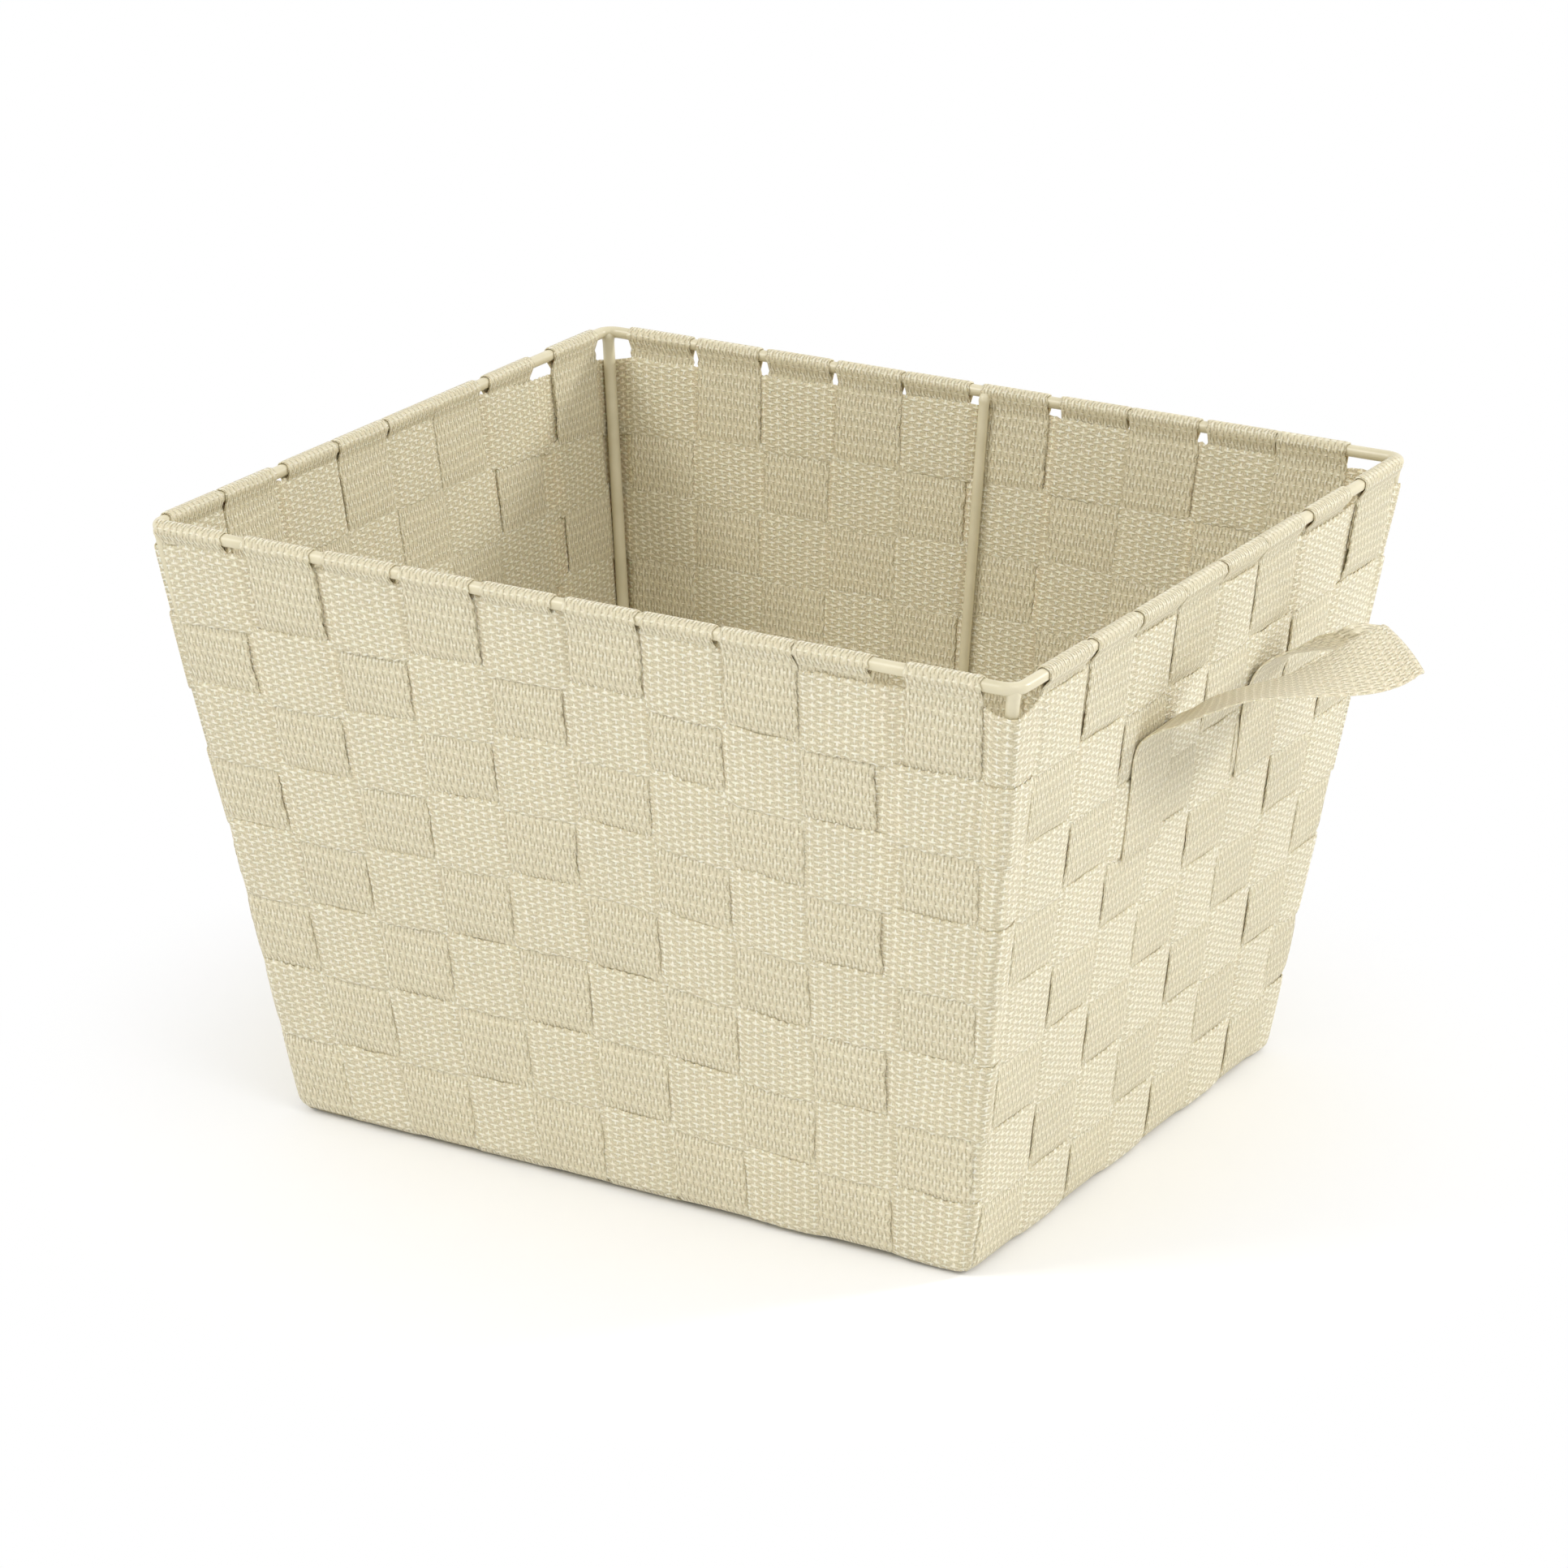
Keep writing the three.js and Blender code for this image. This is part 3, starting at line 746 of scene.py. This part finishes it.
def postWire(name, node, foot, head, radius):
    # A straight wire whose ends swell into the welds.
    foot, head = Vector(foot), Vector(head)
    length = (head - foot).length
    flare = wires["weldFlare"]
    capShare, capHeight, capTop = wires["headCap"]
    outline = [(0, 0)]
    outline += [(radius + flare * share, up) for share, up in wires["footFlare"]]
    outline += [(radius + flare * share, length - below) for share, below in wires["headFlare"]]
    outline += [(radius * capShare, length + capHeight), (0, length + capTop)]
    bm = bmesh.new()
    corners = [bm.verts.new((across * mm, 0, along * mm)) for across, along in outline]
    line = [bm.edges.new(pair) for pair in zip(corners, corners[1:])]
    bmesh.ops.spin(
        bm,
        geom=corners + line,
        cent=(0, 0, 0),
        axis=(0, 0, 1),
        angle=2 * math.pi,
        steps=wires["facets"],
        use_merge=True,
    )
    lean = (head - foot).to_track_quat("Z", "Y").to_matrix().to_4x4()
    bmesh.ops.transform(bm, matrix=Matrix.Translation(foot * mm) @ lean, verts=bm.verts)
    wirePiece(name, bm, node)


def postInset(down):
    # How far in from both walls a corner post stands: at the rim it meets the wire's bend, and
    # lower down it touches the rows inside theirs.
    if down == 0:
        return (1 - math.sqrt(0.5)) * wires["rimCorner"]
    inward = wires["postRadius"] + wires["postGap"] - cornerOut(down)
    return (1 - math.sqrt(0.5)) * cornerRadius(down) + inward / math.sqrt(2)


ringWire("rim", "rim_wire", *rimHalf, wires["rimCorner"], rimHeight, wires["rimRadius"])
baseLow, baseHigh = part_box("base_wire")
baseHalf = [baseHigh.x / mm - shell["wireRadius"], baseHigh.y / mm - shell["wireRadius"]]
baseHeight = (baseLow.z + baseHigh.z) / 2 / mm + wires["baseLift"]
ringWire("base_ring", "base_wire", *baseHalf, wires["baseCorner"], baseHeight, shell["wireRadius"])
for xName, xSign in (("left", -1), ("right", 1)):
    for yName, ySign in (("front", -1), ("back", 1)):
        ends = []
        for down in (foldStart - wires["postFoot"], 0):
            inset = down * sinTilt + postInset(down)
            height = rimHeight - down * cosTilt
            ends.append((xSign * (rimHalf[0] - inset), ySign * (rimHalf[1] - inset), height))
        corner = f"{yName}_{xName}"
        postWire(f"corner_rod_{corner}", f"corner_post_{corner}", *ends, wires["postRadius"])
for yName, ySign in (("front", -1), ("back", 1)):
    low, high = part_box(f"middle_post_{yName}")
    outer = max(abs(low.y), abs(high.y)) / mm - wires["middlePostRadius"]
    inner = min(abs(low.y), abs(high.y)) / mm + wires["middlePostRadius"]
    top = high.z / mm + wires["middlePostOver"]
    ends = [(0, ySign * inner, low.z / mm), (0, ySign * outer, top)]
    postWire(f"middle_rod_{yName}", f"middle_post_{yName}", *ends, wires["middlePostRadius"])
print("wires welded")

# Handles.

handle = {
    "width": 32,
    "thickness": 1.1,
    "hinge": (188.8, 190.3),  # how far out and how high the hinge lies
    "blend": (-2.5, 7),  # two points this far inside and outside the hinge are worked out, and not used
    "steps": 232,
    # the right handle's outer edge and its inner one, from the front root to the back root
    "outer": [
        (177.6, -53.8, 148.5),
        (180.2, -55, 168),
        (182.2, -57, 181),
        (183.6, -59, 190.5),
        (185.2, -58.3, 197),
        (188.3, -57.4, 201),
        (193, -55.4, 204),
        (198, -52.7, 206),
        (203.5, -48.5, 208.5),
        (210, -41, 211),
        (217, -32, 213),
        (225, -19, 212),
        (232, -3.5, 209),
        (238.5, 12, 206),
        (244.5, 28.5, 203.5),
        (248, 43, 203),
        (250, 54, 204.5),
        (249.5, 57.5, 203.5),
        (246, 58.5, 201.7),
        (242, 62, 199.5),
        (237, 66, 199.5),
        (230.5, 73, 200.4),
        (221, 79, 201),
        (207, 80, 200.8),
        (194.3, 78, 199.9),
        (187.5, 74, 197.5),
        (184.3, 71.5, 192),
        (182.4, 70.5, 183),
        (180.2, 72, 168),
        (177.6, 74, 152),
    ],
    "inner": [
        (177.6, -21.8, 148.5),
        (180.2, -23, 168),
        (182.2, -24, 181),
        (183.6, -25, 190),
        (184.6, -25, 196),
        (185.5, -24.5, 199.5),
        (187.5, -23.5, 201),
        (190.5, -21.5, 202.5),
        (194.5, -18, 205.5),
        (198.3, -11.5, 207),
        (203.3, -3.5, 208),
        (211, 9.5, 209),
        (215, 24, 210),
        (220, 37, 213),
        (223.4, 49.5, 215.4),
        (225.5, 61.5, 215.8),
        (225.5, 71, 215),
        (225, 74.5, 213.5),
        (220.5, 72, 214),
        (218.5, 58, 216.8),
        (212.5, 53.5, 214.5),
        (205, 57, 211),
        (200, 56, 207.5),
        (194, 51, 204),
        (189.5, 47, 201.5),
        (186.5, 42, 198),
        (184.3, 39.5, 192),
        (182.4, 38.5, 183),
        (180.2, 40, 168),
        (177.6, 42, 152),
    ],
    "tip": 17,  # the pair of points at which the strap folds back
    "tipBow": (0.6, 1.3, 0.5),  # the middle of the strap stands out this far at the tip
    "tipReach": 2.6,
}


def catmullRom(points, place):
    # A smooth line through the points, at a place from 0 to their count less one.
    last = len(points) - 1
    index = min(int(place), last - 1)
    t = place - index
    a, b, c, d = (Vector(points[clamp(index + k, 0, last)]) for k in (-1, 0, 1, 2))
    cubed = (3 * b - a - 3 * c + d) * t**3
    return 0.5 * (2 * b + (c - a) * t + (2 * a - 5 * b + 4 * c - d) * t**2 + cubed)


def handleStrap(side, xSign):
    width, spans = handle["width"], len(handle["outer"]) - 1
    places = [spans * i / handle["steps"] for i in range(handle["steps"] + 1)]

    def placeOf(place, t):
        outer, inner = catmullRom(handle["outer"], place), catmullRom(handle["inner"], place)
        across = (inner - outer).normalized()
        bow = clamp(1 - abs(place - handle["tip"]) / handle["tipReach"]) ** 2 * (1 - t * t)
        point = (outer + inner) / 2 + across * t * width / 2 + Vector(handle["tipBow"]) * bow
        return Vector((xSign * point.x, point.y, point.z))

    strap, length = makeStrip(f"handle_{side}", places, width, placeOf, uprightShadedWebbing)
    strap.modifiers["thickness"].thickness = handle["thickness"] * mm
    roots = [f"handle_root_front_{side}", f"handle_root_back_{side}"]
    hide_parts(f"handle_loop_{side}", *roots)
    out, height = handle["hinge"]
    start, end = ((xSign * (out + shift) * mm, 0, height * mm) for shift in handle["blend"])
    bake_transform(strap)
    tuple(start)
    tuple(end)


handleStrap("right", 1)
handleStrap("left", -1)
print("handles threaded")

# Floor, light and the finish.

studio = {
    "floorSize": 9,
    "floorShade": 0.94,
    "fade": (0.17, 0.34),  # the floor turns from paper to plain white between these distances
    "worldStrength": 0.75,  # what lights the object; the background itself is at 1
}
bm = bmesh.new()
bmesh.ops.create_grid(bm, x_segments=1, y_segments=1, size=studio["floorSize"])
floorMesh = bpy.data.meshes.new("floor")
bm.to_mesh(floorMesh)
bm.free()
floor = bpy.data.objects.new("floor", floorMesh)
bpy.context.scene.collection.objects.link(floor)


def lookedAt(tree):
    # 1 for the camera and for what is mirrored, 0 for the light that falls on the object
    path = add(tree, "LightPath").outputs
    return add(tree, "Math", (path["Is Camera Ray"], path["Is Glossy Ray"]), operation="MAXIMUM")


# White paper, matt, so that it takes the bin's shadow.
floorMaterial = newMaterial("white_paper")
tree = floorMaterial.node_tree
paper = add(tree, "BsdfDiffuse", {"Color": (*[studio["floorShade"]] * 3, 1)})
white = add(tree, "Emission", {"Strength": 1.0})
apart = add(tree, "TexCoord").outputs["Object"]
apart = add(tree, "VectorMath", [apart], operation="LENGTH").outputs["Value"]
fade = {"Value": apart, "From Min": studio["fade"][0], "From Max": studio["fade"][1]}
fade = add(tree, "MapRange", fade, interpolation_type="SMOOTHSTEP")
share = add(tree, "Math", (fade, lookedAt(tree)), operation="MULTIPLY")
add(tree, "OutputMaterial", {"Surface": add(tree, "MixShader", (share, paper, white))})
floorMesh.materials.append(floorMaterial)

world = bpy.data.worlds.new("studio")
world.use_nodes = True
tree = world.node_tree
tree.nodes.clear()
plain = studio["worldStrength"]
strength = add(tree, "Math", (lookedAt(tree), 1 - plain, plain), operation="MULTIPLY_ADD")
background = add(tree, "Background", {"Color": (1, 1, 1, 1), "Strength": strength})
add(tree, "OutputWorld", {"Surface": background})
bpy.context.scene.world = world


lamps = {
    "key": {"place": (1.6, -0.7, 2.1), "aim": (0, 0, 0.1), "size": 1.2, "power": 11},
    "side": {"place": (1.7, 1.5, 1.1), "aim": (0.1, 0, 0.15), "size": 0.4, "power": 22},
    "fill": {"place": (-1.5, -1.9, 2.2), "aim": (0, 0, 0.1), "size": 1.1, "power": 34},
}
for name, lamp in lamps.items():
    light = bpy.data.lights.new(name, "AREA")
    light.size = lamp["size"]
    light.energy = lamp["power"]
    holder = bpy.data.objects.new(name, light)
    holder.location = lamp["place"]
    aimed = Vector(lamp["aim"]) - Vector(lamp["place"])
    holder.rotation_euler = aimed.to_track_quat("-Z", "Y").to_euler()
    bpy.context.scene.collection.objects.link(holder)
bpy.context.scene.view_settings.view_transform = "Standard"


print("scene finished")
